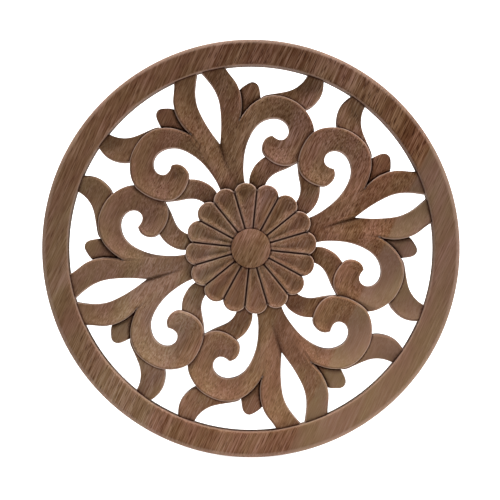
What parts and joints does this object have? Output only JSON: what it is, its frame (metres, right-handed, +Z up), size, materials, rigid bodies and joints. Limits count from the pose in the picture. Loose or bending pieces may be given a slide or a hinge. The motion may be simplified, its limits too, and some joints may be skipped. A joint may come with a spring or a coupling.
{
  "type": "carved wooden applique",
  "caption": "Round pierced wooden applique with a flat outer ring, scrolled leaf ornament and a petalled rosette, flat at the back to be glued or pinned on.",
  "frame": {"origin": "centre of the flat back face", "axes": "+Y out of the flat back, carving facing -Y, +Z up"},
  "size_m": [0.2, 0.0122, 0.2],
  "materials": {
    "wood": "raw, unvarnished brown wood with fine dark pores, matt"
  },
  "bodies": {
    "root": {"applique": "wood"}
  },
  "joints": []
}
